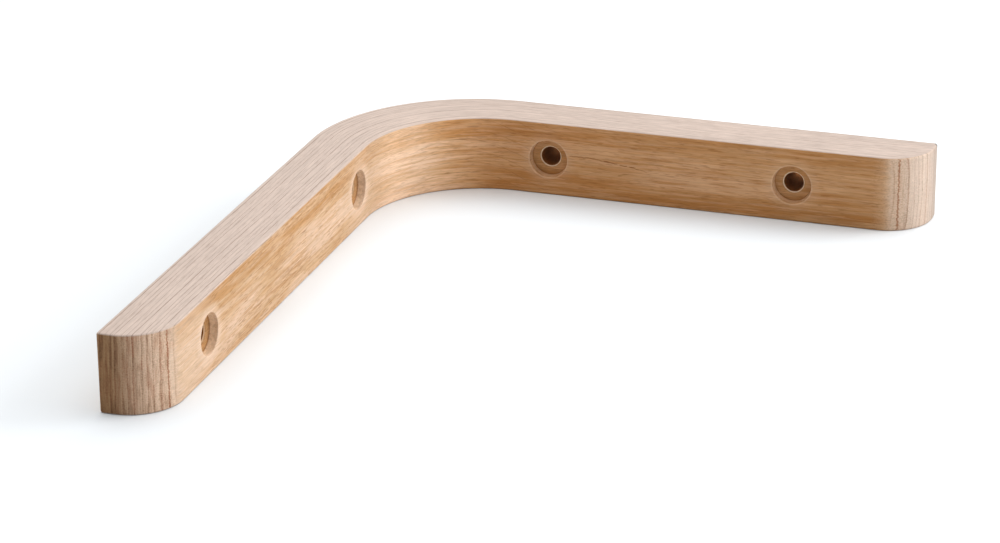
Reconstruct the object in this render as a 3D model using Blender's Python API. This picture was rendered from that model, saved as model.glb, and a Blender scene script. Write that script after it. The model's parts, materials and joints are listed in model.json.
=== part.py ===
"""Bentwood shelf bracket: one strap of pale hardwood, bent to a right angle and drilled for four screws.

The bracket lies on one of its narrow side faces, with +Z across the strap's width. The long wall leg runs
down along -Y with its outer face on the plane X = 0, and the shorter shelf leg runs off along +X. The
origin is on the wall leg's outer face, midway between its two screws and in the middle of the width.
"""

import math

import bmesh
import bpy
from mathutils import Vector

# The strap, in metres. Both legs are measured from the outer corner that their outer faces would meet in
STRAP_WIDTH = 0.0200
STRAP_THICKNESS = 0.0158
WALL_LEG_LENGTH = 0.1816
SHELF_LEG_LENGTH = 0.1575
OUTER_BEND_RADIUS = 0.0437
INNER_BEND_RADIUS = 0.0307

# How the edges are finished
END_ROUNDING_RADIUS = 0.0125
END_ARRIS_RADIUS = 0.0008
SIDE_ARRIS_RADIUS = 0.0005
LEAST_END_FLAT = 0.0005

# The screw holes, each drilled square through a leg in the middle of its width
SCREW_HOLE_DIAMETER = 0.0052
SCREW_RIM_CHAMFER = 0.0005
COUNTERBORE_DIAMETER = 0.0104
COUNTERBORE_DEPTH = 0.0023
COUNTERBORE_TAPER = 0.0002
COUNTERBORE_EASING = 0.00015
WALL_HOLE_PAST_BEND = 0.0074
WALL_HOLE_FROM_END = 0.0287
SHELF_HOLE_PAST_BEND = 0.0108
SHELF_HOLE_FROM_END = 0.0351

# How finely round forms are divided
BEND_STEPS = 45
END_STEPS = 25
END_ARRIS_STEPS = 4
SIDE_ARRIS_STEPS = 2
HOLE_STEPS = 48
SHARP_ANGLE = math.radians(30)

# How far a cutter stands out of the wood it cuts, and how near two of its points are one
CUTTER_OVERRUN = 0.0010
MERGE_DISTANCE = 0.000001

WOOD_COLOUR = (0.63, 0.41, 0.24, 1.0)
WOOD_ROUGHNESS = 0.6

# Where the bend runs out into a straight leg: at the inner face, and then at mid-thickness
inner_bend_end = STRAP_THICKNESS + INNER_BEND_RADIUS
bend_end = (inner_bend_end + OUTER_BEND_RADIUS) / 2
wall_holes = (bend_end + WALL_HOLE_PAST_BEND, WALL_LEG_LENGTH - WALL_HOLE_FROM_END)
shelf_holes = (bend_end + SHELF_HOLE_PAST_BEND, SHELF_LEG_LENGTH - SHELF_HOLE_FROM_END)
corner_y = sum(wall_holes) / len(wall_holes)


def clear_scene():
    for old in list(bpy.data.objects):
        bpy.data.objects.remove(old, do_unlink=True)


def wood():
    material = bpy.data.materials.new("pale_hardwood")
    material.use_nodes = True
    shader = material.node_tree.nodes["Principled BSDF"]
    shader.inputs["Base Color"].default_value = WOOD_COLOUR
    shader.inputs["Roughness"].default_value = WOOD_ROUGHNESS
    shader.inputs["Metallic"].default_value = 0.0
    return material


def arc(centre, radius, start, end, steps):
    """Points on an arc from one angle to another, in degrees, with both its ends."""
    turns = [math.radians(start + (end - start) * step / steps) for step in range(steps + 1)]
    return [(centre[0] + radius * math.cos(a), centre[1] + radius * math.sin(a)) for a in turns]


def strap_outline():
    """The bracket seen along +Z, anticlockwise from the wall leg's outer end arris."""
    thick = STRAP_THICKNESS
    arris = END_ARRIS_RADIUS
    round_radius = min(END_ROUNDING_RADIUS, thick - arris - LEAST_END_FLAT)
    wall_end = corner_y - WALL_LEG_LENGTH

    wall_arris = (arris, wall_end + arris)
    wall_round = (thick - round_radius, wall_end + round_radius)
    inner_bend = (inner_bend_end, corner_y - inner_bend_end)
    shelf_round = (SHELF_LEG_LENGTH - round_radius, corner_y - thick + round_radius)
    shelf_arris = (SHELF_LEG_LENGTH - arris, corner_y - arris)
    outer_bend = (OUTER_BEND_RADIUS, corner_y - OUTER_BEND_RADIUS)
    return (
        arc(wall_arris, arris, 180, 270, END_ARRIS_STEPS)
        + arc(wall_round, round_radius, 270, 360, END_STEPS)
        + arc(inner_bend, INNER_BEND_RADIUS, 180, 90, BEND_STEPS)
        + arc(shelf_round, round_radius, 270, 360, END_STEPS)
        + arc(shelf_arris, arris, 0, 90, END_ARRIS_STEPS)
        + arc(outer_bend, OUTER_BEND_RADIUS, 90, 180, BEND_STEPS)
    )


def strap_object(name):
    """The outline drawn out to the strap's width, with its side arrises eased."""
    half = STRAP_WIDTH / 2
    bm = bmesh.new()
    lower = bm.faces.new([bm.verts.new((x, y, -half)) for x, y in strap_outline()])
    grown = bmesh.ops.extrude_face_region(bm, geom=[lower])["geom"]
    raised = [item for item in grown if isinstance(item, bmesh.types.BMVert)]
    bmesh.ops.translate(bm, vec=(0, 0, STRAP_WIDTH), verts=raised)
    rims = [edge for edge in bm.edges if edge.verts[0].co.z == edge.verts[1].co.z]
    round_over = 0.5
    bmesh.ops.bevel(
        bm,
        geom=rims,
        offset=SIDE_ARRIS_RADIUS,
        segments=SIDE_ARRIS_STEPS,
        profile=round_over,
        affect="EDGES",
    )
    bmesh.ops.recalc_face_normals(bm, faces=bm.faces)
    mesh = bpy.data.meshes.new(name)
    bm.to_mesh(mesh)
    bm.free()
    strap = bpy.data.objects.new(name, mesh)
    bpy.context.collection.objects.link(strap)
    return strap


def hole_mesh():
    """One screw hole as a turned solid. Its axis is +Z, into the wood, with Z = 0 at the wood's face."""
    mouth = COUNTERBORE_DIAMETER / 2
    bore = SCREW_HOLE_DIAMETER / 2
    ease = COUNTERBORE_EASING
    depth = COUNTERBORE_DEPTH
    rim = SCREW_RIM_CHAMFER
    profile = (
        (0, -CUTTER_OVERRUN),
        (mouth + ease + CUTTER_OVERRUN, -CUTTER_OVERRUN),
        (mouth, ease),
        (mouth - COUNTERBORE_TAPER, depth),
        (bore + rim, depth),
        (bore, depth + rim),
        (bore, STRAP_THICKNESS + CUTTER_OVERRUN),
        (0, STRAP_THICKNESS + CUTTER_OVERRUN),
    )
    bm = bmesh.new()
    line = [bm.verts.new((radius, 0, z)) for radius, z in profile]
    edges = [bm.edges.new(pair) for pair in zip(line, line[1:])]
    bmesh.ops.spin(
        bm,
        geom=line + edges,
        axis=(0, 0, 1),
        cent=(0, 0, 0),
        angle=math.tau,
        steps=HOLE_STEPS,
        use_merge=True,
    )
    bmesh.ops.remove_doubles(bm, verts=bm.verts, dist=MERGE_DISTANCE)
    bmesh.ops.recalc_face_normals(bm, faces=bm.faces)
    mesh = bpy.data.meshes.new("screw_hole")
    bm.to_mesh(mesh)
    bm.free()
    return mesh


def hole_places():
    """Each hole's name, the middle of its mouth on an inner face, and the way into the wood."""
    for number, along in enumerate(wall_holes, 1):
        mouth = Vector((STRAP_THICKNESS, corner_y - along, 0))
        yield f"wall_screw_hole_{number}", mouth, Vector((-1, 0, 0))
    for number, along in enumerate(shelf_holes, 1):
        mouth = Vector((along, corner_y - STRAP_THICKNESS, 0))
        yield f"shelf_screw_hole_{number}", mouth, Vector((0, 1, 0))


def drill(strap):
    mesh = hole_mesh()
    for name, mouth, inwards in hole_places():
        cutter = bpy.data.objects.new(name, mesh)
        cutter.location = mouth
        cutter.rotation_euler = inwards.to_track_quat("Z", "Y").to_euler()
        cutter.hide_render = True
        cutter.display_type = "WIRE"
        bpy.context.collection.objects.link(cutter)
        cutter.parent = strap
        cut = strap.modifiers.new(name, "BOOLEAN")
        cut.operation = "DIFFERENCE"
        cut.solver = "EXACT"
        cut.object = cutter


def build_bracket():
    bracket = strap_object("bentwood_bracket")
    bracket.data.materials.append(wood())
    drill(bracket)
    bracket.data.shade_smooth()
    bracket.data.set_sharp_from_angle(angle=SHARP_ANGLE)
    return bracket


clear_scene()
build_bracket()
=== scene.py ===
"""The bentwood shelf bracket as it looks: one strap of pale ring-porous hardwood, bent, sanded and drilled.

Run as a script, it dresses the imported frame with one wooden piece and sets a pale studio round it.
"""

import json
import math

import bmesh
import bpy
from mathutils import Matrix, Vector


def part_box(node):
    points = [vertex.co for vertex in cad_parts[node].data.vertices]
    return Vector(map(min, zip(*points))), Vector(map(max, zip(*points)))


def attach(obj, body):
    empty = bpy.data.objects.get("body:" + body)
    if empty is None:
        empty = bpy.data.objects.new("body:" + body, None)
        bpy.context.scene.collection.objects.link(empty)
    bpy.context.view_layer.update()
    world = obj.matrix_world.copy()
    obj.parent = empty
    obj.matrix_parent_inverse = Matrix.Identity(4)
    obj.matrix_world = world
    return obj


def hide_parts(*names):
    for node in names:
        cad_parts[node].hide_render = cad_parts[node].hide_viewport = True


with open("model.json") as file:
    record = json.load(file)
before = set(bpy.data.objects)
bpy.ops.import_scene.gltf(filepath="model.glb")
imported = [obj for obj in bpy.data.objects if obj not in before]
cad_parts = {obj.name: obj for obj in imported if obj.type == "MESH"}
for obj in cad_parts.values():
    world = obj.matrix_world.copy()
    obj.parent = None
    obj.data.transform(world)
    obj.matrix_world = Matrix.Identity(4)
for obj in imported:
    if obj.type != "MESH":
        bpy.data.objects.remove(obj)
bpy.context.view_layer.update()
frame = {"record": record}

bl_info = {
    "name": "Bentwood Shelf Bracket",
    "version": (1, 0, 0),
    "blender": (4, 5, 0),
    "location": "3D View > Sidebar > Bracket",
    "description": "Makes a bent and drilled hardwood shelf bracket and a pale studio for it",
    "category": "Add Mesh",
}

NODE = "bentwood_bracket"
BODY = "root"
WOOD_SLOT = "pale_hardwood"
MILLIMETRES = 1000.0
GRAIN = "grain"
CUT = "cut"
FROM_HOLE = "from_hole"

low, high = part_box(NODE)
mounts = {mount["name"]: Vector(mount["pos_m"]) for mount in frame["record"]["mounts"]}


def length(name, default, description):
    """A size in metres that a user may change."""
    return bpy.props.FloatProperty(
        name=name, description=description, default=default, min=0.0, unit="LENGTH", precision=5
    )


def share(name, default, description):
    """A strength or a share of something, with no unit."""
    return bpy.props.FloatProperty(name=name, description=description, default=default)


def angle(name, degrees, description):
    """An angle that a user may change, given in degrees."""
    return bpy.props.FloatProperty(
        name=name, description=description, default=math.radians(degrees), unit="ROTATION"
    )


def colour(name, default, description):
    """A plain colour that a user may change."""
    return bpy.props.FloatVectorProperty(
        name=name, description=description, default=default, size=3, subtype="COLOR", min=0, max=1
    )


class StrapSizes(bpy.types.PropertyGroup):
    """The strap's own sizes. Both legs are measured from the outer corner."""

    wall_leg: length("Wall leg", high.y - low.y, "Length of the long leg that lies on the wall")
    shelf_leg: length("Shelf leg", high.x - low.x, "Length of the short leg that carries the shelf")
    width: length("Width", high.z - low.z, "Width of the strap")
    thickness: length("Thickness", 0.0158, "Thickness of the strap")
    outer_bend: length("Outer bend radius", 0.0437, "Radius of the bend's outer face")
    inner_bend: length("Inner bend radius", 0.0307, "Radius of the bend's inner face")
    end_rounding: length("End rounding", 0.0125, "Radius at each leg's end, on the inner face")
    end_arris: length("End arris", 0.0008, "Radius at each leg's end, on the outer face")
    side_arris: length("Side arris", 0.0005, "Radius to which the long edges are eased")
    nick_radius: length("Nick radius", 0.0008, "Size of the small knock on the shelf leg's outer corner")
    nick_depth: length("Nick depth", 0.00030, "Depth of that knock")


class ScrewHoleSizes(bpy.types.PropertyGroup):
    """The four screw holes, each drilled square through a leg from its inner face."""

    wall_spacing: length("Wall spacing", 0.1004, "Distance between the wall leg's two holes")
    shelf_spacing: length("Shelf spacing", 0.0665, "Distance between the shelf leg's two holes")
    bore: length("Bore", 0.0052, "Diameter of the hole for the screw's shank")
    rim: length("Rim chamfer", 0.0005, "Chamfer where the bore meets the counterbore")
    counterbore: length("Counterbore", 0.0104, "Diameter of the counterbore for the screw's head")
    depth: length("Counterbore depth", 0.0023, "Depth of the counterbore")
    taper: length("Counterbore taper", 0.0002, "How much narrower the counterbore's radius is at its floor")
    easing: length("Easing", 0.00018, "Radius to which the mouth is sanded over")


class WoodLooks(bpy.types.PropertyGroup):
    """The timber's figure and colours, among them colours that paint light and shade on it."""

    ring_width: length("Ring width", 0.00132, "Distance from one growth ring to the next")
    log_radius: length("Log radius", 0.140, "Distance of the strap from the heart of its log")
    # Painted sheen: the narrow faces' ground is paler and pinker, partly the wood's own tone and partly
    # standing in for a grazing reflection
    side_ground_and_sheen: colour("Side ground", (0.505, 0.405, 0.348), "Wood between the lines on the narrow faces")
    side_line: colour("Side line", (0.230, 0.160, 0.125), "Growth lines on the narrow faces")
    face_ground: colour("Face ground", (0.595, 0.380, 0.214), "Wood on the wide faces")
    face_ochre: colour("Face ochre", (0.470, 0.235, 0.080), "Late wood on the wide faces")
    face_pale: colour("Face pale", (0.700, 0.500, 0.360), "Early wood on the wide faces")
    face_pore: colour("Face pore", (0.270, 0.120, 0.040), "Open pores on the wide faces")
    # Painted shade: the shelf leg's wide faces are tinted darker and browner for the light they miss
    shelf_leg_shade: colour("Shelf leg's tone", (0.92, 0.76, 0.585), "How much browner its wide faces are")
    # Painted shade and light: each end's grain is darkened towards the outer face and lightened towards the
    # inner one, and the wall leg's end is darker overall
    wall_end_outer_shaded: colour("Wall end, outer side", (0.310, 0.176, 0.085), "Its wood near the outer face")
    wall_end_inner_lit: colour("Wall end, inner side", (0.735, 0.525, 0.380), "Its wood near the inner face")
    shelf_end_outer_shaded: colour("Shelf end, outer side", (0.430, 0.350, 0.295), "Its wood near the outer face")
    shelf_end_inner_lit: colour("Shelf end, inner side", (0.690, 0.545, 0.440), "Its wood near the inner face")
    # Painted light: the wide faces tinted paler over the bend and where they round off into the ends
    pale_rounding_highlight: colour("Pale rounding", (0.715, 0.530, 0.390), "Wide faces where they start to round off")
    end_line: colour("End line", (0.42, 0.27, 0.17), "How far a growth line on the ends darkens the wood")
    end_red: colour("End red", (0.58, 0.36, 0.26), "The same where such a line turns reddish")
    # A near-black tint in the small knock on the shelf leg's corner
    knock_dark: colour("Knock", (0.050, 0.040, 0.032), "Dirt in the small knock on the shelf leg's corner")
    # Painted shade: the bores are tinted a near-black brown
    bore_shade_brown: colour("Bore brown", (0.260, 0.095, 0.022), "Wood burnished by the drill inside a bore")
    # Painted light: a highlight on the chamfer round each bore and a lighter wall in each counterbore
    hole_highlight: colour("Bore rim", (0.900, 0.700, 0.500), "The chamfer round the bore, scraped clean")
    # Painted highlight on each mouth's eased lip
    lip_highlight: colour("Rim pale", (0.760, 0.560, 0.400), "Sanded rims of the screw holes")
    halo_pale: colour("Pale halo", (0.790, 0.590, 0.450), "Wide faces just round a wall leg's hole")
    roughness: share("Roughness", 0.60, "Roughness of the sanded wood")


class StudioSetup(bpy.types.PropertyGroup):
    """Camera, lights and floor."""

    azimuth: angle("Azimuth", 18.364, "The camera's angle round the bracket, from a view along +Y")
    elevation: angle("Elevation", 22.049, "The camera's angle above the floor")
    roll: angle("Roll", -0.387, "How far the camera is tipped about its own axis")
    distance: length("Distance", 0.844, "From the camera to the point it looks at")
    target: bpy.props.FloatVectorProperty(
        name="Target", description="Where the camera looks", default=(0.06856, 0.0074, 0.0), unit="LENGTH"
    )
    lens: share("Lens", 124.03, "Focal length of the camera, in millimetres")
    floor_size: length("Floor size", 6.0, "Side of the square floor")
    floor_tone: colour("Floor tone", (0.795, 0.828, 0.854), "Colour of the floor")
    sky_above: share("Sky above", 1.77, "Strength of the white light from overhead")
    sky_left: share("Sky at the left", 0.67, "Strength of the white light from the left")
    sky_back: share("Sky at the back", 1.46, "Strength of the white light from behind the bracket")
    sky_right: share("Sky at the right", 0.14, "Strength of the white light from the right")
    right_box: share("Right soft box", 1.6, "Power of the soft box at the right, in watts")
    corner_box: share("Corner soft box", 4.0, "Power of the soft box at the back right, in watts")
    back_box: share("Back soft box", 0.75, "Power of the soft box at the back, in watts")


class Value:
    """A number or vector on its way between nodes. Arithmetic on it adds the nodes that work it out."""

    def __init__(self, graph, socket):
        self.graph = graph
        self.socket = socket

    def __add__(self, other):
        return self.graph.math("ADD", self, other)

    def __radd__(self, other):
        return self.graph.math("ADD", other, self)

    def __sub__(self, other):
        return self.graph.math("SUBTRACT", self, other)

    def __rsub__(self, other):
        return self.graph.math("SUBTRACT", other, self)

    def __mul__(self, other):
        return self.graph.math("MULTIPLY", self, other)

    def __truediv__(self, other):
        return self.graph.math("DIVIDE", self, other)


class Graph:
    """A node tree as it is written, one node to a call."""

    def __init__(self, tree):
        self.tree = tree

    def feed(self, socket, value):
        """Links a value into a socket, or sets a plain one."""
        if isinstance(value, Value):
            self.tree.links.new(value.socket, socket)
        else:
            socket.default_value = value

    def add(self, kind, feeds=None, output=0, **settings):
        """Adds a node, feeds its sockets by name or number, and gives back one of its outputs."""
        node = self.tree.nodes.new(kind)
        for name, value in settings.items():
            setattr(node, name, value)
        for key, value in (feeds or {}).items():
            self.feed(node.inputs[key], value)
        return Value(self, node.outputs[output])

    def math(self, operation, *values, clamp=False):
        """One step of arithmetic on numbers."""
        return self.add("ShaderNodeMath", dict(enumerate(values)), operation=operation, use_clamp=clamp)

    def vector_math(self, operation, *values):
        """One step of arithmetic on vectors."""
        return self.add("ShaderNodeVectorMath", dict(enumerate(values)), operation=operation)

    def vector_dot(self, vector, other):
        """The dot product of two vectors."""
        return self.add("ShaderNodeVectorMath", {0: vector, 1: other}, "Value", operation="DOT_PRODUCT")

    def split(self, vector):
        """A vector's three parts."""
        node = self.add("ShaderNodeSeparateXYZ", {0: vector}).socket.node
        return [Value(self, output) for output in node.outputs]

    def join(self, x, y, z):
        """A vector of three parts."""
        return self.add("ShaderNodeCombineXYZ", {0: x, 1: y, 2: z})

    def ease(self, value, start, end, first=0.0, last=1.0):
        """Runs smoothly from first, where the value is start, to last, where it is end."""
        feeds = {0: value, 1: start, 2: end, 3: first, 4: last}
        return self.add("ShaderNodeMapRange", feeds, interpolation_type="SMOOTHSTEP")

    def tint(self, factor, base, other, blend_type="MIX"):
        """Lays one colour over another."""
        feeds = {0: factor, 6: base, 7: other}
        return self.add("ShaderNodeMix", feeds, output=2, data_type="RGBA", blend_type=blend_type)


# The tree's inputs, all of them lengths
STRAP_INPUTS = (
    "Wall leg", "Shelf leg", "Width", "Thickness", "Outer bend radius", "Inner bend radius",
    "End rounding", "End arris", "Side arris", "Nick radius", "Nick depth",
    "Corner height", "Wall hole", "Wall spacing", "Shelf hole", "Shelf spacing",
)
# The blank's rows of points, and how far they crowd towards its ends and its side faces
STATIONS_ALONG = 340
STATIONS_THROUGH = 46
STATIONS_ACROSS = 46
CROWDING_ALONG = 0.62
CROWDING_ACROSS = 0.75


def strap_tree():
    """Writes the tree that shapes a straight blank, drills it and bends it."""
    tree = bpy.data.node_groups.new("bent_strap", "GeometryNodeTree")
    tree.is_modifier = True
    sockets = tree.interface
    sockets.new_socket("Strap", in_out="OUTPUT", socket_type="NodeSocketGeometry")
    for name in STRAP_INPUTS:
        sockets.new_socket(name, in_out="INPUT", socket_type="NodeSocketFloat")
    sockets.new_socket("Hole", in_out="INPUT", socket_type="NodeSocketObject")
    sockets.new_socket("Wood", in_out="INPUT", socket_type="NodeSocketMaterial")
    graph = Graph(tree)
    given = tree.nodes.new("NodeGroupInput")
    size = {output.name: Value(graph, output) for output in given.outputs if output.name}

    bend_reach = size["Thickness"] + size["Inner bend radius"]
    wall_run = size["Wall leg"] - bend_reach
    bend_run = (size["Inner bend radius"] + size["Thickness"] / 2) * (math.pi / 2)
    shelf_run = size["Shelf leg"] - bend_reach
    total = wall_run + bend_run + shelf_run

    blank = rounded_blank(graph, size, total)
    places = hole_places(graph, size, wall_run + bend_run - bend_reach)
    drilled = drill(graph, size, blank, places)
    marked = mark_grain(graph, size, drilled, places)
    bent = bend(graph, size, marked, bend_reach, wall_run, bend_run)
    realized = graph.add("GeometryNodeRealizeInstances", {0: bent})
    finished = graph.add("GeometryNodeSetMaterial", {"Geometry": realized, "Material": size["Wood"]})
    result = tree.nodes.new("NodeGroupOutput")
    tree.links.new(finished.socket, result.inputs[0])
    return tree


def crowded(graph, at, crowding):
    """Shifts places from 0 to 1 so that they crowd towards both ends."""
    wave = graph.math("SINE", at * math.tau)
    return at - wave * (crowding / math.tau)


def rounded_blank(graph, size, total):
    """The straight strap: X along it, Y through it from its outer face, and Z across its width."""
    counts = {"Vertices X": STATIONS_ALONG, "Vertices Y": STATIONS_THROUGH, "Vertices Z": STATIONS_ACROSS}
    block = graph.add("GeometryNodeMeshCube", {"Size": (1, 1, 1), **counts})
    place = graph.add("GeometryNodeInputPosition")
    x, y, z = (part + 0.5 for part in graph.split(place))
    x = crowded(graph, x, CROWDING_ALONG)
    z = crowded(graph, z, CROWDING_ACROSS) - 0.5

    eased = size["Side arris"]
    half = size["Width"] / 2
    height = graph.math("ABSOLUTE", z) * size["Width"]
    turn = graph.math("DIVIDE", height - half + eased, eased, clamp=True) * (math.pi / 2)
    lift = (graph.math("SINE", turn) - turn / (math.pi / 2)) * eased
    inset = (1 - graph.math("COSINE", turn)) * eased
    across = z * size["Width"] + graph.math("SIGN", z) * lift

    along = inset + x * (total - inset * 2)
    through = inset + y * (size["Thickness"] - inset * 2)
    from_end = graph.math("MINIMUM", along, total - along)
    inwards = graph.math("SIGN", total / 2 - along)
    far = size["Thickness"] - through
    inner = corner_shift(graph, from_end, far, size["End rounding"], inset)
    outer = corner_shift(graph, from_end, through, size["End arris"], inset)
    along = along + inwards * (inner[0] + outer[0])
    through = through - inner[1] + outer[1]

    shaped = graph.join(along, through, across)
    corner = graph.join(total, 0.0, half)
    apart = graph.add("ShaderNodeVectorMath", {0: shaped, 1: corner}, output=1, operation="DISTANCE")
    dent = graph.ease(apart, 0.0, size["Nick radius"], 1.0, 0.0) * size["Nick depth"]
    sunk = graph.join(along - dent, through + dent, across - dent)
    return graph.add("GeometryNodeSetPosition", {"Geometry": block, "Position": sunk})


def corner_shift(graph, from_end, from_face, radius, inset):
    """How far a point moves along and through the strap where a square corner becomes a round one."""
    round_now = radius - inset
    to_end = graph.math("DIVIDE", radius - from_end, round_now, clamp=True)
    to_face = graph.math("DIVIDE", radius - from_face, round_now, clamp=True)
    along = round_now * to_end * (1 - graph.math("SQRT", 1 - to_face * to_face / 2))
    through = round_now * to_face * (1 - graph.math("SQRT", 1 - to_end * to_end / 2))
    return along, through


def hole_places(graph, size, shelf_start):
    """Two points on each leg's inner face, where the screw holes go in."""
    places = graph.tree.nodes.new("GeometryNodeJoinGeometry")
    for first, spacing in (
        (size["Wall hole"], size["Wall spacing"]),
        (shelf_start + size["Shelf hole"], size["Shelf spacing"]),
    ):
        start = graph.join(first, size["Thickness"], 0.0)
        step = graph.join(spacing, 0.0, 0.0)
        feeds = {"Count": 2, "Start Location": start, "Offset": step}
        row = graph.add("GeometryNodeMeshLine", feeds, mode="OFFSET")
        graph.tree.links.new(row.socket, places.inputs[0])
    return Value(graph, places.outputs[0])


def drill(graph, size, blank, places):
    """Cuts the same turned hole at each place."""
    hole = graph.add("GeometryNodeObjectInfo", {"Object": size["Hole"]}, output="Geometry")
    holes = graph.add("GeometryNodeInstanceOnPoints", {"Points": places, "Instance": hole})
    solid = graph.add("GeometryNodeRealizeInstances", {0: holes})
    return graph.add(
        "GeometryNodeMeshBoolean", {"Mesh 1": blank, "Mesh 2": solid}, operation="DIFFERENCE", solver="EXACT"
    )


def mark_grain(graph, size, strap, places):
    """Keeps, for the wood's figure, what the bend would hide.

    That is each point's place in the straight strap and its distance from the nearest hole's axis, and the
    way each face was cut.
    """
    place = graph.add("GeometryNodeInputPosition")
    facing = graph.add("GeometryNodeInputNormal")
    along, _, across = graph.split(place)
    on_face = graph.join(along, size["Thickness"], across)
    nearest = graph.tree.nodes.new("GeometryNodeProximity")
    nearest.target_element = "POINTS"
    sockets = {socket.identifier: socket for socket in nearest.inputs}
    graph.feed(sockets["Target"], places)
    graph.feed(sockets["Source Position"], on_face)
    from_hole = Value(graph, nearest.outputs["Distance"])
    for name, value, domain, kind in (
        (GRAIN, place, "POINT", "FLOAT_VECTOR"),
        (FROM_HOLE, from_hole, "POINT", "FLOAT"),
        (CUT, facing, "FACE", "FLOAT_VECTOR"),
    ):
        feeds = {"Geometry": strap, "Name": name, "Value": value}
        strap = graph.add("GeometryNodeStoreNamedAttribute", feeds, data_type=kind, domain=domain)
    return strap


def bend(graph, size, strap, bend_reach, wall_run, bend_run):
    """Bends the strap a quarter turn about the inner bend's centre and sets it in the part's frame."""
    along, through, across = graph.split(graph.add("GeometryNodeInputPosition"))
    turn = graph.math("DIVIDE", along - wall_run, bend_run, clamp=True) * (math.pi / 2)
    cosine = graph.math("COSINE", turn)
    sine = graph.math("SINE", turn)

    shift = bend_reach - size["Outer bend radius"]
    lean = shift * (cosine + sine)
    radius = size["Outer bend radius"]
    on_arc = lean + graph.math("SQRT", lean * lean - shift * shift * 2 + radius * radius)
    longer = graph.math("MAXIMUM", cosine, sine)
    shorter = graph.math("MINIMUM", cosine, sine)
    is_straight = graph.math("LESS_THAN", shorter / longer, shift / bend_reach)
    outer = on_arc + is_straight * (bend_reach / longer - on_arc)

    reach = outer - (outer - size["Inner bend radius"]) * through / size["Thickness"]
    before = graph.math("MINIMUM", along - wall_run, 0.0)
    after = graph.math("MAXIMUM", along - wall_run - bend_run, 0.0)
    x = bend_reach - reach * cosine + after
    y = size["Corner height"] - bend_reach + reach * sine + before
    return graph.add("GeometryNodeSetPosition", {"Geometry": strap, "Position": graph.join(x, y, across)})


# The cutter's sides, the steps of its small roundings, and its lengths in metres
HOLE_STEPS = 96
EASING_STEPS = 4
FLOOR_FILLET = 0.00025
CUTTER_OVERRUN = 0.0010
MERGE_DISTANCE = 0.000001


def quarter(centre, radius, start, steps):
    """Points on a quarter circle of a turned profile, from an angle in degrees, with both its ends."""
    turns = [math.radians(start + 90 * step / steps) for step in range(steps + 1)]
    return [(centre[0] + radius * math.cos(turn), centre[1] + radius * math.sin(turn)) for turn in turns]


def hole_profile(sizes, thickness):
    """Half the hole's section as radius and depth. The wood's face is at depth 0."""
    mouth = sizes.counterbore / 2
    bore = sizes.bore / 2
    ease = sizes.easing
    floor_edge = mouth - sizes.taper
    eased = quarter((mouth + ease, ease), ease, 180, EASING_STEPS)[::-1]
    fillet = quarter((floor_edge - FLOOR_FILLET, sizes.depth - FLOOR_FILLET), FLOOR_FILLET, 0, EASING_STEPS)
    return (
        [(0, -CUTTER_OVERRUN), (mouth + ease, -CUTTER_OVERRUN)]
        + eased
        + fillet
        + [(bore + sizes.rim, sizes.depth), (bore, sizes.depth + sizes.rim)]
        + [(bore, thickness - ease)]
        + [(bore + ease + CUTTER_OVERRUN, thickness + CUTTER_OVERRUN), (0, thickness + CUTTER_OVERRUN)]
    )


def hole_cutter(sizes, thickness):
    """The screw hole as a turned solid, pointing from the strap's inner face at -Y into the wood."""
    bm = bmesh.new()
    line = [bm.verts.new((radius, -depth, 0)) for radius, depth in hole_profile(sizes, thickness)]
    edges = [bm.edges.new(pair) for pair in zip(line, line[1:])]
    bmesh.ops.spin(
        bm,
        geom=line + edges,
        axis=(0, 1, 0),
        cent=(0, 0, 0),
        angle=math.tau,
        steps=HOLE_STEPS,
        use_merge=True,
    )
    bmesh.ops.remove_doubles(bm, verts=bm.verts, dist=MERGE_DISTANCE)
    bmesh.ops.recalc_face_normals(bm, faces=bm.faces)
    mesh = bpy.data.meshes.new("screw_hole")
    bm.to_mesh(mesh)
    bm.free()
    cutter = bpy.data.objects.new("screw_hole", mesh)
    bpy.context.collection.objects.link(cutter)
    return cutter


# The wood's noise fields: the lengths of their cells along, through and across the strap in millimetres,
# a shift that sets each field apart, and its number of finer octaves
FIGURES = {
    "sweep": ((120, 70, 30), 3.1, 0),
    "ripple": ((34, 9, 24), 7.7, 0),
    "wobble": ((34, 2.2, 9), 1.9, 0),
    "jitter": ((30, 0.9, 4.5), 6.3, 0),
    "bunching": ((1, 3, 1), 5.3, 0),
    "dashes": ((9.5, 0.45, 0.45), 2.2, 1),
    "pores": ((2.4, 0.20, 0.20), 9.4, 0),
    "fibres": ((11, 0.26, 0.26), 4.6, 1),
    "threads": ((24, 0.8, 0.62), 5.2, 2),
    "bands": ((62, 16, 2.4), 6.1, 2),
    "clouds": ((44, 12, 7.5), 1.3, 1),
    "curls": ((15, 1.4, 0.72), 8.8, 4),
    "strokes": ((4.4, 0.30, 0.20), 3.3, 2),
    "mottles": ((9, 3, 1.5), 7.2, 1),
    "arch_wander": ((14, 5, 3), 2.9, 1),
    "crack_wander": ((2.2, 1, 1), 4.4, 3),
    "crack_gaps": ((1.4, 1, 1), 7.1, 0),
    "reddening": ((30, 2.4, 5), 3.7, 0),
    "rays": ((20, 0.24, 6.5), 2.7, 1),
    "smudges": ((20, 0.9, 8), 6.9, 3),
    "end_pores": ((0.5, 0.32, 0.34), 5.5, 0),
    "stipple": ((0.45, 0.30, 0.26), 4.9, 1),
    "halo_blotches": ((5, 3, 2.2), 8.1, 2),
    "torn_grain": ((1.6, 1.1, 0.7), 6.6, 2),
}

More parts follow.
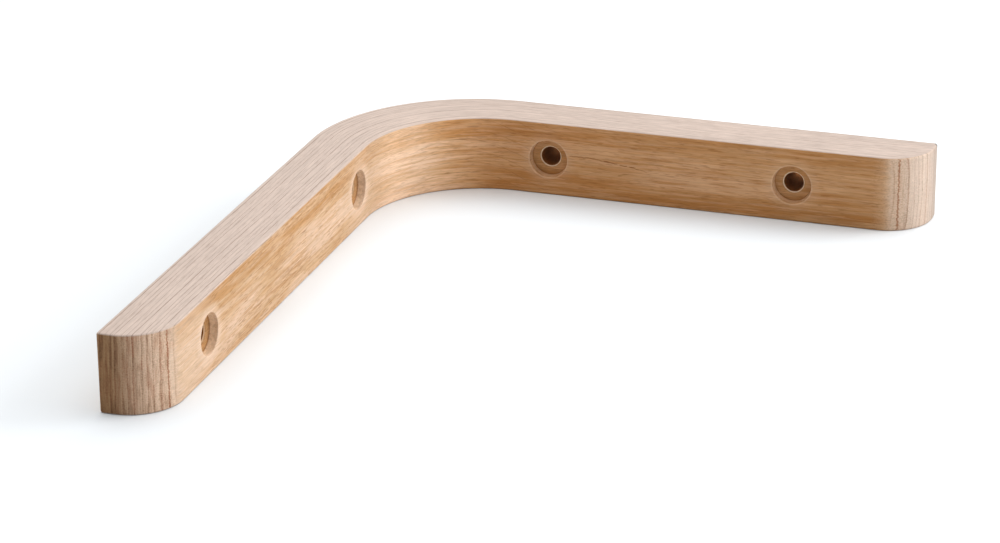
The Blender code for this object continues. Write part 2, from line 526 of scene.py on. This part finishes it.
# Where a field starts to show as a mark and where the mark is full. In this table and the next five, two
# more numbers are the strength before and after, which is otherwise 0 and 1.
MARKS = {
    "broken_lines": (0.30, 0.52, 0.45, 1.0),
    "open_pores": (0.62, 0.74),
    "ochre": (0.60, 0.86, 0.0, 0.85),
    "pale": (0.42, 0.62, 0.0, 0.75),
    "seam_dashes": (0.40, 0.60, 0.0, 0.45),
    "arch_dashes": (0.36, 0.52, 0.30, 1.0),
    "ochre_curls": (0.50, 0.64, 0.0, 0.50),
    "pale_curls": (0.36, 0.50, 0.36, 0.0),
    "crack_gaps": (0.28, 0.44),
    "reddening": (0.42, 0.60),
    "rays": (0.50, 0.68, 0.0, 0.40),
    "smudges": (0.48, 0.64, 0.0, 0.42),
    "end_pores": (0.60, 0.70),
    "stipple": (0.52, 0.66, 0.0, 0.24),
    "torn_grain": (0.46, 0.62),
}

# Stretches of the straight strap over which its tone changes, in millimetres from the wall leg's end. The
# bend's pale and brightened stretches are painted light, the shelf leg's tone is painted shade and the shelf
# end's pale stretch is a painted highlight.
RUNS = {
    "wall_end_pale": (18, 36, 0.40, 0.0),
    "bend_highlight_starts": (108, 128),
    "shelf_leg": (120, 215),
    "side_lightens": (135, 155, 0.0, 0.03),
    "bend_light_starts": (138, 154),
    "shelf_end": (140, 160),
    "arches_start": (146, 166),
    "bend_highlight_stops": (160, 178, 0.26, 0.0),
    "side_darkens": (160, 185, 0.0, 0.09),
    "shelf_leg_shade": (160, 192),
    "past_bend": (165, 200),
    "bend_light_stops": (166, 196, 0.34, 0.0),
    "arches_stop": (200, 214, 1.0, 0.0),
    "shelf_leg_dims": (268, 288, 0.0, 0.07),
    "shelf_end_highlight": (292.5, 297, 0.0, 0.55),
}

# The same through the strap, in millimetres from its outer face
DEPTHS = {
    "pale_side": (8, 12),
    "hole_mouth": (11.0, 12.5),
    "stippled": (12.2, 13.6),
    "cracked": (15.0, 15.4),
    "halo": (15.0, 15.5),
}

# The same across the strap, in millimetres from the middle of its width
WIDTHS = {
    "lower_half": (-7.5, -1.5, 1.0, 0.0),
    "upper_half": (1.5, 7.5),
    "near_edge": (8.6, 9.2),
    "on_arris": (9.45, 9.70, 0.0, 0.35),
}

# How squarely a face cuts across the strap, from 0 to 1, where the wood of the ends shows. Where the faces
# start to round off into the ends, the first row lays a painted highlight.
CUTS = {
    "sanded": (0.0, 0.10, 0.0, 0.85),
    "end_lines": (0.02, 0.16),
    "end_grain": (0.05, 0.60),
}

# Steps in a screw hole's wood, in millimetres out from the bore's wall, out from the counterbore's wall or
# up from its floor
HOLE_EDGES = {
    "bore_stops": (0.02, 0.08, 1.0, 0.0),
    "rim_starts": (0.02, 0.08),
    "mouth_stops": (-0.10, 0.0, 1.0, 0.0),
    "lip_starts": (-0.02, 0.06),
    "lip_stops": (0.15, 0.60, 1.0, 0.0),
    "crease_starts": (-0.50, -0.28),
    "halo_stops": (0.2, 3.4, 0.52, 0.0),
    "floor_stops": (0.03, 0.25, 1.0, 0.0),
    "wall_starts": (0.10, 0.35),
    "crease_stops": (0.10, 0.40, 1.0, 0.0),
}

# The part of the rim's chamfer on which its painted highlight starts and stops
RIM_SHARES = (0.4, 0.8)

# How far each field moves the growth rings through the strap, in millimetres
RING_SHIFTS = {"sweep": 2.6, "ripple": 0.55, "wobble": 0.36, "jitter": 0.12}
RING_BUNCHING = 2.2

# Shares of a ring's width, or of a seam's spacing, at which a line is full, starts to fade and is gone,
# and the share of a ring that is early wood
SIDE_LINE = (0.04, 0.05, 0.17)
END_LINE = (0.05, 0.06, 0.22)
END_SHADE = (0.10, 0.18, 0.75)
SEAM_LINE = (0.03, 0.03, 0.10)
EARLY_WOOD = 0.45

# Shares of the fields in the figure of the wide faces, and in the streaks over the whole strap
OCHRE_FIELDS = {"bands": 0.72, "threads": 0.26, "mottles": 0.22}
PALE_FIELDS = {"clouds": 0.55, "threads": 0.2, "mottles": 0.3}
SEAM_FIELDS = {"bands": 4, "clouds": 2}
STREAK_FIELDS = {"fibres": 0.30, "threads": 0.18, "clouds": 0.14}

# The straight strap's half length, its ends, the last growth ring, the arches over the bend and the
# hairline crack. Lengths are in millimetres, but the arches' line is in shares of their spacing.
HALF_LENGTH = 153.35
END_STARTS = HALF_LENGTH - 14.5
END_FULL = HALF_LENGTH - 13
LAST_RING = 14.55
LAST_RING_WANDER = 0.4
LAST_RING_LINE = (0.03, 0.16, 0.9, 0.0)
ARCH_CREST = 176.0
ARCH_CURVE = 0.0088
ARCH_SPACING = 3.08
ARCH_HEIGHT = 1.15
ARCH_WANDER = 1.1
ARCH_LINE = (0.012, 0.05, 0.42, 0.0)
CRACK_START = 209.6
CRACK_END = 235.0
CRACK_HEIGHT = 1.65
CRACK_FALL = 0.0046
CRACK_WIDTH = 0.24
CRACK_WANDER = 0.9
CRACK_STRENGTH = 0.70
CRACK_OPENS = 2
CRACK_CLOSES = 7

# The knock's dirt: its stretch along, through and across, and the squares of the distances where it thins out
KNOCK_SHAPE = (1.8, 1.0, 1.0)
KNOCK_EDGE = (1.2, 2.7)

SPECULAR = 0.14
BUMP_STRENGTH = 0.35
BUMP_HEIGHT = 0.00006


def figure(graph, place, name):
    """One of the noise fields, from 0 to 1, at a place in the straight strap in millimetres."""
    cells, shift, octaves = FIGURES[name]
    scaled = graph.vector_math("DIVIDE", place, cells)
    moved = graph.vector_math("ADD", scaled, (shift, shift, shift))
    return graph.add("ShaderNodeTexNoise", {"Vector": moved, "Scale": 1.0, "Detail": octaves})


def fading_line(graph, phase, full, fades, gone):
    """A line at each whole number of a phase, sharp at its start and fading away after it."""
    return graph.ease(phase, 0.0, full) * graph.ease(phase, fades, gone, 1.0, 0.0)


def dimmed(graph, base, tone):
    """A colour times a plain number."""
    return graph.tint(1.0, base, graph.join(tone, tone, tone), "MULTIPLY")


def layered(graph, base, layers, blend_type="MIX"):
    """Lays colours over a base in turn, each at its own strength."""
    for strength, over in layers:
        base = graph.tint(strength, base, over, blend_type)
    return base


class Timber:
    """What the wood's colours are worked out from: places in the straight strap, noise and growth rings."""

    def __init__(self, graph, looks):
        self.graph = graph
        self.looks = looks
        self.fields = {}
        stored = graph.add("ShaderNodeAttribute", output="Vector", attribute_name=GRAIN)
        self.place = graph.vector_math("MULTIPLY", stored, (MILLIMETRES, MILLIMETRES, MILLIMETRES))
        self.along, self.through, self.across = graph.split(self.place)
        self.height = graph.math("ABSOLUTE", self.across)
        facing = graph.add("ShaderNodeAttribute", output="Vector", attribute_name=CUT)
        lengthwise, _, sideways = graph.split(facing)
        self.on_end = lengthwise * lengthwise
        self.on_side = sideways * sideways
        from_hole = graph.add("ShaderNodeAttribute", output="Fac", attribute_name=FROM_HOLE)
        self.from_axis = from_hole * MILLIMETRES
        self.on_shelf_leg = self.run("shelf_leg")
        self.at_shelf_end = self.run("shelf_end")

        year = self.year_of_growth()
        self.phase = graph.math("FRACT", year)
        self.vigour = graph.add(
            "ShaderNodeTexWhiteNoise", {"W": graph.math("FLOOR", year)}, noise_dimensions="1D"
        )
        self.line = fading_line(graph, self.phase, *END_LINE)
        self.early = graph.ease(self.phase, 0.0, EARLY_WOOD, 1.0, 0.0)
        self.broken = self.mark("broken_lines", self.field("dashes"))
        self.open_pores = self.mark("open_pores", self.field("pores") + self.early * 0.10)

    def field(self, name):
        """One of the noise fields at the point's own place, made only once."""
        if name not in self.fields:
            self.fields[name] = figure(self.graph, self.place, name)
        return self.fields[name]

    def swing(self, name):
        """A field about its middle, from minus a half to a half."""
        return self.field(name) - 0.5

    def mix(self, shares):
        """The sum of some fields, each times its share."""
        parts = [self.field(name) * part for name, part in shares.items()]
        return sum(parts[1:], parts[0])

    def swung(self, value, shares):
        """A value moved to either side by some fields, each times its share."""
        for name, part in shares.items():
            value = value + self.swing(name) * part
        return value

    def mark(self, name, field=None):
        """A field, which is the one of the same name unless another is given, cut down to its marks."""
        return self.graph.ease(field or self.field(name), *MARKS[name])

    def run(self, name):
        """A change of tone along the strap."""
        return self.graph.ease(self.along, *RUNS[name])

    def depth(self, name):
        """A change of tone through the strap."""
        return self.graph.ease(self.through, *DEPTHS[name])

    def year_of_growth(self):
        """Which year a point grew in, counted in rings from the strap's outer face."""
        curve = self.across * self.across / (2 * self.looks.log_radius * MILLIMETRES)
        depth = self.swung(self.through, RING_SHIFTS) - curve
        bunching = figure(self.graph, self.graph.join(0.0, depth, 0.0), "bunching") - 0.5
        return (depth + bunching * RING_BUNCHING) / (self.looks.ring_width * MILLIMETRES)


def side_wood(timber):
    """The narrow faces: fine broken growth lines on a pale ground that is partly the wood's own tone and
    partly a painted sheen.
    """
    graph = timber.graph
    looks = timber.looks
    shelf = timber.on_shelf_leg
    lines = fading_line(graph, timber.phase, *SIDE_LINE) * timber.broken
    lines = lines * (0.40 + timber.vigour * 0.60) * (1.20 - shelf * 0.54)
    line_colour = rgba(looks.side_line)
    layers = ((lines, line_colour), (timber.open_pores * 0.16, line_colour))
    # The ground is partly a painted sheen
    side = layered(graph, rgba(looks.side_ground_and_sheen), layers)
    tone = timber.run("side_lightens") - timber.run("side_darkens") + 1.045
    tone = tone + timber.swing("strokes") * (0.12 + shelf * 0.30) + timber.swing("curls") * 0.20
    return dimmed(graph, side, tone)


def face_wood(timber, crack):
    """The wide faces: long pale and ochre figure, fine seams and open pores, with painted light over the bend
    and painted shade on the shelf leg.
    """
    graph = timber.graph
    looks = timber.looks
    ochre_colour = rgba(looks.face_ochre)
    pale_colour = rgba(looks.face_pale)
    pore_colour = rgba(looks.face_pore)
    dashes = timber.field("dashes")
    curls = timber.field("curls")
    past_bend = timber.run("past_bend")

    above = graph.ease(timber.across, *WIDTHS["upper_half"])
    below = graph.ease(timber.across, *WIDTHS["lower_half"])
    toward_edge = above * (0.20 - past_bend * 0.10) + below * past_bend * 0.17
    seam = fading_line(graph, graph.math("FRACT", timber.mix(SEAM_FIELDS)), *SEAM_LINE)
    # Painted light: the bend's faces tinted paler where they turn towards the lights
    bend_highlight_share = timber.run("bend_highlight_starts") * timber.run("bend_highlight_stops")
    end_pale = timber.run("wall_end_pale") + timber.run("shelf_end_highlight") * timber.depth("pale_side")
    layers = (
        (timber.mark("pale", timber.mix(PALE_FIELDS) - toward_edge), pale_colour),
        (timber.mark("ochre", timber.mix(OCHRE_FIELDS) + toward_edge), ochre_colour),
        (seam * timber.mark("seam_dashes", dashes), pore_colour),
        (bend_arches(timber) * timber.mark("arch_dashes", dashes), pore_colour),
        (timber.mark("ochre_curls", curls), ochre_colour),
        (timber.mark("pale_curls", curls), pale_colour),
        (timber.open_pores * 0.34, pore_colour),
        (bend_highlight_share + end_pale, rgba(looks.pale_rounding_highlight)),
    )
    face = layered(graph, rgba(looks.face_ground), layers)
    # Painted shade: the shelf leg's wide faces tinted darker and browner
    face = graph.tint(timber.run("shelf_leg_shade"), face, rgba(looks.shelf_leg_shade), "MULTIPLY")
    # Painted light: the bend brightened
    bend_brightening = timber.run("bend_light_starts") * timber.run("bend_light_stops") + 1.0
    face = dimmed(graph, face, bend_brightening - timber.run("shelf_leg_dims"))
    return graph.tint(crack, face, rgba(looks.end_line), "MULTIPLY")


def bend_arches(timber):
    """A few fine growth lines that arch over the bend's inner face and fall away along the shelf leg."""
    graph = timber.graph
    from_crest = timber.along - ARCH_CREST
    wander = timber.swing("arch_wander") * ARCH_WANDER
    arch = timber.across + from_crest * from_crest * ARCH_CURVE + wander
    turn = graph.math("FRACT", (arch - ARCH_HEIGHT) / ARCH_SPACING + 0.5)
    away = graph.math("ABSOLUTE", turn - 0.5)
    reach = timber.run("arches_start") * timber.run("arches_stop")
    return graph.ease(away, *ARCH_LINE) * reach


def crack_line(timber):
    """A short hairline crack along the grain of the shelf leg's inner face."""
    graph = timber.graph
    along = timber.along
    on_line = graph.join(along, 0.0, 0.0)
    wander = (figure(graph, on_line, "crack_wander") - 0.5) * CRACK_WANDER
    run = along - CRACK_START
    middle = CRACK_HEIGHT - run * run * CRACK_FALL + wander
    away = graph.math("ABSOLUTE", timber.across - middle)
    opens = graph.ease(along, CRACK_START, CRACK_START + CRACK_OPENS)
    closes = graph.ease(along, CRACK_END - CRACK_CLOSES, CRACK_END, 1.0, 0.0)
    gaps = timber.mark("crack_gaps", figure(graph, on_line, "crack_gaps"))
    crack = graph.ease(away, CRACK_WIDTH / 4, CRACK_WIDTH, CRACK_STRENGTH, 0.0)
    return crack * opens * closes * gaps * timber.depth("cracked")


def end_wood(timber, face):
    """The wide faces with the leg ends laid over them: a painted highlight where they round off, end grain
    with painted shade towards the outer face and painted light towards the inner one, then lines cut across
    the grain.
    """
    graph = timber.graph
    looks = timber.looks
    vigour = timber.vigour
    early = timber.early
    at_shelf_end = timber.at_shelf_end
    from_middle = graph.math("ABSOLUTE", timber.along - HALF_LENGTH)
    at_end = graph.ease(from_middle, END_STARTS, END_FULL)
    cut_across = graph.ease(timber.on_end, *CUTS["end_lines"]) * at_end
    # Painted shade and light on the ends: the end grain darkens towards the outer face and lightens towards
    # the inner one
    inwards = graph.ease(timber.through, 2.0 - at_shelf_end, 13.6 - at_shelf_end * 3.1)
    wall_end = graph.tint(inwards, rgba(looks.wall_end_outer_shaded), rgba(looks.wall_end_inner_lit))
    shelf_end = graph.tint(inwards, rgba(looks.shelf_end_outer_shaded), rgba(looks.shelf_end_inner_lit))

    arris = graph.ease(timber.height, *WIDTHS["on_arris"]) * timber.on_shelf_leg
    # Painted highlight: a pale tint where the wide faces start to round off into the ends
    sanded = graph.ease(timber.on_end + timber.swing("mottles") * 0.04, *CUTS["sanded"]) * at_end
    end_grain = graph.ease(timber.on_end, *CUTS["end_grain"]) * at_end
    grounds = (
        (arris, rgba(looks.face_ochre)),
        (sanded, rgba(looks.pale_rounding_highlight)),
        (end_grain, graph.tint(at_shelf_end, wall_end, shelf_end)),
    )
    wood = layered(graph, face, grounds)

    red = timber.mark("reddening", timber.field("reddening") + at_shelf_end * 0.10)
    line_colour = graph.tint(red, rgba(looks.end_line), rgba(looks.end_red))
    shade = fading_line(graph, timber.phase, *END_SHADE) * vigour
    end_pores = timber.mark("end_pores", timber.field("end_pores") + early * 0.10)
    strengths = (
        shade * (0.46 - inwards * 0.22),
        timber.mark("smudges") * (1 - at_shelf_end),
        timber.mark("rays"),
        timber.line * (0.20 + vigour * 0.46) * (1 + at_shelf_end * 0.75),
        end_pores * (0.20 + early * 0.24),
    )
    shown = cut_across * (1.0 - at_shelf_end * 0.50)
    wood = layered(graph, wood, [(strength * shown, line_colour) for strength in strengths], "MULTIPLY")

    wander = timber.swing("dashes") * LAST_RING_WANDER
    from_ring = graph.math("ABSOLUTE", timber.through - LAST_RING + wander)
    last_ring = graph.ease(from_ring, *LAST_RING_LINE) * cut_across
    wood = graph.tint(last_ring, wood, rgba(looks.end_red), "MULTIPLY")
    stippled = timber.mark("stipple") * timber.depth("stippled") * at_end * at_shelf_end
    return graph.tint(stippled, wood, rgba(looks.face_pore))


def hole_edge(graph, value, line, name):
    """A step in a screw hole's wood where a value passes a line."""
    start, stop, *strengths = HOLE_EDGES[name]
    return graph.ease(value, line + start, line + stop, *strengths)


def drilled_wood(timber, sizes, holes, wood):
    """Wood torn in the counterbores, with painted shade in the bores, on the counterbores' floors and in
    their creases, painted light on their walls, and painted highlights on the bores' chamfers and the mouths'
    eased lips.
    """
    graph = timber.graph
    looks = timber.looks
    shelf = timber.on_shelf_leg
    away = timber.from_axis
    bore = holes.bore / 2 * MILLIMETRES
    rim = holes.rim * MILLIMETRES
    mouth = holes.counterbore / 2 * MILLIMETRES
    floor = (sizes.thickness - holes.depth) * MILLIMETRES
    near_mouth = timber.depth("hole_mouth")

    inside = hole_edge(graph, away, mouth, "mouth_stops") * near_mouth
    rim_starts = hole_edge(graph, away, bore, "rim_starts")
    rim_stops = graph.ease(away, bore + rim * RIM_SHARES[0], bore + rim * RIM_SHARES[1], 1.0, 0.0)
    on_rim = rim_starts * rim_stops * near_mouth
    lip_starts = hole_edge(graph, away, mouth, "lip_starts")
    lip = lip_starts * hole_edge(graph, away, mouth, "lip_stops") * near_mouth
    on_floor = inside * hole_edge(graph, timber.through, floor, "floor_stops")
    on_wall = inside * hole_edge(graph, timber.through, floor, "wall_starts") * (1 - lip)
    low_down = hole_edge(graph, timber.through, floor, "crease_stops")
    crease = hole_edge(graph, away, mouth, "crease_starts") * low_down * inside
    halo = hole_edge(graph, away, mouth, "halo_stops") * (1 - shelf * 0.8)
    halo = halo * (timber.field("halo_blotches") * 1.5 + 0.1) * timber.depth("halo")
    torn = timber.mark("torn_grain") * inside
    layers = (
        (halo, rgba(looks.halo_pale)),
        # Painted shade on the counterbores' floors
        (on_floor * (0.80 - shelf * 0.52), rgba(looks.face_ochre)),
        # Painted light on the counterbores' walls
        (on_wall * (0.70 - shelf * 0.46), rgba(looks.hole_highlight)),
        # Painted shade in the crease where each counterbore's wall meets its floor
        (crease * 0.50, rgba(looks.face_pore)),
        (torn * (0.24 - shelf * 0.12), rgba(looks.face_pore)),
        # Painted highlight on the bores' chamfers
        (on_rim * (0.40 + shelf * 0.50), rgba(looks.hole_highlight)),
        # Painted highlight on the mouths' eased lips
        (lip * 0.22, rgba(looks.lip_highlight)),
        # Painted shade in the bores
        (in_bore(timber, holes) * 0.95, rgba(looks.bore_shade_brown)),
    )
    return layered(graph, wood, layers)


def in_bore(timber, holes):
    """1 inside a bore for a screw's shank, and 0 elsewhere."""
    return hole_edge(timber.graph, timber.from_axis, holes.bore / 2 * MILLIMETRES, "bore_stops")


def knock_darkening(timber, sizes):
    """1 in the small knock on the shelf leg's outer corner, and 0 elsewhere."""
    graph = timber.graph
    corner = (HALF_LENGTH * 2, 0.0, sizes.width / 2 * MILLIMETRES)
    apart = graph.vector_math("SUBTRACT", timber.place, corner)
    apart = graph.vector_math("MULTIPLY", apart, KNOCK_SHAPE)
    return graph.ease(graph.vector_dot(apart, apart), *KNOCK_EDGE, 1.0, 0.0)


def wood_material(looks, sizes, holes):
    """Ring-porous hardwood, its figure running through the strap as it was before it was bent."""
    material = bpy.data.materials.new(WOOD_SLOT)
    material.use_nodes = True
    tree = material.node_tree
    shader = tree.nodes["Principled BSDF"]
    graph = Graph(tree)
    timber = Timber(graph, looks)
    shelf = timber.on_shelf_leg

    crack = crack_line(timber)
    wood = end_wood(timber, face_wood(timber, crack))
    near_edge = graph.ease(timber.height, *WIDTHS["near_edge"])
    on_side = graph.ease(timber.on_side, shelf * 0.32 + 0.14, shelf * 0.36 + 0.50) * near_edge
    wood = graph.tint(on_side, wood, side_wood(timber))
    wood = graph.tint(knock_darkening(timber, sizes), wood, rgba(looks.knock_dark))
    wood = drilled_wood(timber, sizes, holes, wood)
    streak = timber.swung(1.0, STREAK_FIELDS) + timber.swing("strokes") * (0.46 - timber.on_side * 0.22)
    graph.feed(shader.inputs["Base Color"], dimmed(graph, wood, streak))

    rough = looks.roughness + timber.open_pores * 0.2 + timber.swing("fibres") * 0.12 + in_bore(timber, holes)
    graph.feed(shader.inputs["Roughness"], rough)
    graph.feed(shader.inputs["Specular IOR Level"], SPECULAR)
    lines = timber.line * timber.broken
    raised = timber.field("fibres") * 0.35 - timber.open_pores * 0.8 - lines * 0.25 - crack
    feeds = {"Strength": BUMP_STRENGTH, "Distance": BUMP_HEIGHT, "Height": raised}
    graph.feed(shader.inputs["Normal"], graph.add("ShaderNodeBump", feeds))
    return material


def rgba(value):
    """An opaque colour."""
    return (*value, 1.0)


# Edges between faces that meet at more than this stay sharp
SHARP_ANGLE = math.radians(32)


class BRACKET_OT_strap(bpy.types.Operator):
    """Shape, drill and bend the strap, and give it its wood"""

    bl_idname = "bracket.strap"
    bl_label = "Bent strap"

    def execute(self, context):
        sizes = context.scene.bracket_strap
        holes = context.scene.bracket_holes
        wood = wood_material(context.scene.bracket_wood, sizes, holes)
        cutter = hole_cutter(holes, sizes.thickness)
        wall_middle = mounts["wall_face"].y - low.y
        shelf_middle = mounts["shelf_face"].x
        named = StrapSizes.bl_rna.properties
        inputs = {named[item].name: getattr(sizes, item) for item in StrapSizes.__annotations__}
        inputs |= {
            "Corner height": high.y,
            "Wall hole": wall_middle - holes.wall_spacing / 2,
            "Wall spacing": holes.wall_spacing,
            "Shelf hole": shelf_middle - holes.shelf_spacing / 2,
            "Shelf spacing": holes.shelf_spacing,
            "Hole": cutter,
            "Wood": wood,
        }
        strap = plain_piece("bent_hardwood_strap", strap_tree(), inputs)
        bpy.data.objects.remove(cutter, do_unlink=True)
        strap.data.shade_smooth()
        strap.data.set_sharp_from_angle(angle=SHARP_ANGLE)
        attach(strap, BODY)
        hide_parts(NODE)
        return {"FINISHED"}


def plain_piece(name, tree, inputs):
    """Runs a node tree with its named inputs and gives back the result as an ordinary mesh object."""
    seed = bpy.data.objects.new(name + "_seed", bpy.data.meshes.new(name + "_seed"))
    bpy.context.collection.objects.link(seed)
    run = seed.modifiers.new(tree.name, "NODES")
    run.node_group = tree
    for socket in tree.interface.items_tree:
        if socket.in_out == "INPUT":
            run[socket.identifier] = inputs[socket.name]
    seed.update_tag()
    ready = bpy.context.evaluated_depsgraph_get()
    mesh = bpy.data.meshes.new_from_object(
        seed.evaluated_get(ready), preserve_all_data_layers=True, depsgraph=ready
    )
    if not mesh.polygons:
        raise RuntimeError(f"the tree {tree.name} made no faces")
    bpy.data.objects.remove(seed, do_unlink=True)
    mesh.name = name
    piece = bpy.data.objects.new(name, mesh)
    bpy.context.collection.objects.link(piece)
    return piece


def studio_floor(setup):
    """A plain pale floor under the bracket."""
    half = setup.floor_size / 2
    mesh = bpy.data.meshes.new("studio_floor")
    corners = [(-half, -half, low.z), (half, -half, low.z), (half, half, low.z), (-half, half, low.z)]
    mesh.from_pydata(corners, [], [(0, 1, 2, 3)])
    material = bpy.data.materials.new("white_paper")
    material.use_nodes = True
    shader = material.node_tree.nodes["Principled BSDF"]
    shader.inputs["Base Color"].default_value = rgba(setup.floor_tone)
    shader.inputs["Roughness"].default_value = 1.0
    shader.inputs["Specular IOR Level"].default_value = 0.0
    mesh.materials.append(material)
    floor = bpy.data.objects.new("studio_floor", mesh)
    bpy.context.collection.objects.link(floor)


# Directions to the lights as seen from the bracket
ABOVE = Vector((0, 0, 1))
SKY_LEFT = Vector((-1, 0, 0.35))
SKY_BACK = Vector((0, 1, 0.35))
SKY_RIGHT = Vector((1, 0, 0.25))
RIGHT_BOX = Vector((1.0, 0.05, 0.35))
CORNER_BOX = Vector((1.0, 0.6, 0.7))
BACK_BOX = Vector((0.35, 1.0, 0.55))

# The power to which a glow falls off about its middle, and the soft boxes' size and distance in metres
SKY_FOCUS = 3.0
SOFT_BOX_SIDE = 0.4
SOFT_BOX_DISTANCE = 0.9


def studio_sky(setup):
    """White light in four broad glows: overhead, at the left, at the back and a little at the right."""
    world = bpy.data.worlds.new("studio_sky")
    world.use_nodes = True
    bpy.context.scene.world = world
    graph = Graph(world.node_tree)
    direction = graph.add("ShaderNodeTexCoord", output="Generated")
    glows = (
        (ABOVE, setup.sky_above),
        (SKY_LEFT, setup.sky_left),
        (SKY_BACK, setup.sky_back),
        (SKY_RIGHT, setup.sky_right),
    )
    strength = 0.0
    for toward, power in glows:
        facing = graph.vector_dot(direction, toward.normalized())
        spread = graph.math("POWER", graph.math("MAXIMUM", facing, 0.0), SKY_FOCUS)
        strength = strength + spread * power
    background = world.node_tree.nodes["Background"]
    background.inputs["Color"].default_value = (1.0, 1.0, 1.0, 1.0)
    graph.feed(background.inputs["Strength"], strength)


def soft_light(name, toward, power, aim):
    """A square soft box that looks at a point from a given direction."""
    light = bpy.data.lights.new(name, "AREA")
    light.shape = "SQUARE"
    light.size = SOFT_BOX_SIDE
    light.energy = power
    lamp = bpy.data.objects.new(name, light)
    lamp.location = aim + toward.normalized() * SOFT_BOX_DISTANCE
    lamp.rotation_euler = toward.to_track_quat("Z", "Y").to_euler()
    bpy.context.collection.objects.link(lamp)


SENSOR_WIDTH = 36.0


def studio_camera(setup):
    """The camera at its angle, tipped by its small roll."""
    level = math.cos(setup.elevation)
    sideways = math.sin(setup.azimuth) * level
    forward = math.cos(setup.azimuth) * level
    back = Vector((sideways, -forward, math.sin(setup.elevation)))
    right = ABOVE.cross(back).normalized()
    up = back.cross(right)
    tipped_right = right * math.cos(setup.roll) + up * math.sin(setup.roll)
    tipped_up = up * math.cos(setup.roll) - right * math.sin(setup.roll)
    lens = bpy.data.cameras.new("camera")
    lens.lens = setup.lens
    lens.sensor_width = SENSOR_WIDTH
    lens.sensor_fit = "HORIZONTAL"
    camera = bpy.data.objects.new("camera", lens)
    camera.location = Vector(setup.target) + back * setup.distance
    camera.rotation_euler = Matrix((tipped_right, tipped_up, back)).transposed().to_euler()
    bpy.context.collection.objects.link(camera)
    bpy.context.scene.camera = camera


class BRACKET_OT_stage(bpy.types.Operator):
    """Set the floor, the lights and the camera"""

    bl_idname = "bracket.stage"
    bl_label = "Studio"

    def execute(self, context):
        setup = context.scene.bracket_studio
        studio_floor(setup)
        studio_sky(setup)
        aim = Vector(setup.target)
        soft_light("right_soft_box", RIGHT_BOX, setup.right_box, aim)
        soft_light("corner_soft_box", CORNER_BOX, setup.corner_box, aim)
        soft_light("back_soft_box", BACK_BOX, setup.back_box, aim)
        studio_camera(setup)
        context.scene.view_settings.view_transform = "Standard"
        return {"FINISHED"}


class BRACKET_PT_panel(bpy.types.Panel):
    """The bracket's pieces and sizes"""

    bl_idname = "BRACKET_PT_panel"
    bl_label = "Bentwood Bracket"
    bl_space_type = "VIEW_3D"
    bl_region_type = "UI"
    bl_category = "Bracket"

    def draw(self, context):
        for operator in OPERATORS:
            self.layout.operator(operator.bl_idname)
        for name, group in SETTINGS.items():
            box = self.layout.box()
            for item in group.__annotations__:
                box.prop(getattr(context.scene, name), item)


SETTINGS = {
    "bracket_strap": StrapSizes,
    "bracket_holes": ScrewHoleSizes,
    "bracket_wood": WoodLooks,
    "bracket_studio": StudioSetup,
}
OPERATORS = (BRACKET_OT_strap, BRACKET_OT_stage)


def register():
    """Adds the settings, the operators and the panel to Blender."""
    for cls in (*SETTINGS.values(), *OPERATORS, BRACKET_PT_panel):
        bpy.utils.register_class(cls)
    for name, group in SETTINGS.items():
        setattr(bpy.types.Scene, name, bpy.props.PointerProperty(type=group))


def unregister():
    """Takes them away again."""
    for name in SETTINGS:
        delattr(bpy.types.Scene, name)
    for cls in reversed((*SETTINGS.values(), *OPERATORS, BRACKET_PT_panel)):
        bpy.utils.unregister_class(cls)


def main():
    """Makes the strap and the studio."""
    register()
    bpy.ops.bracket.strap()
    bpy.ops.bracket.stage()


if __name__ == "__main__":
    main()
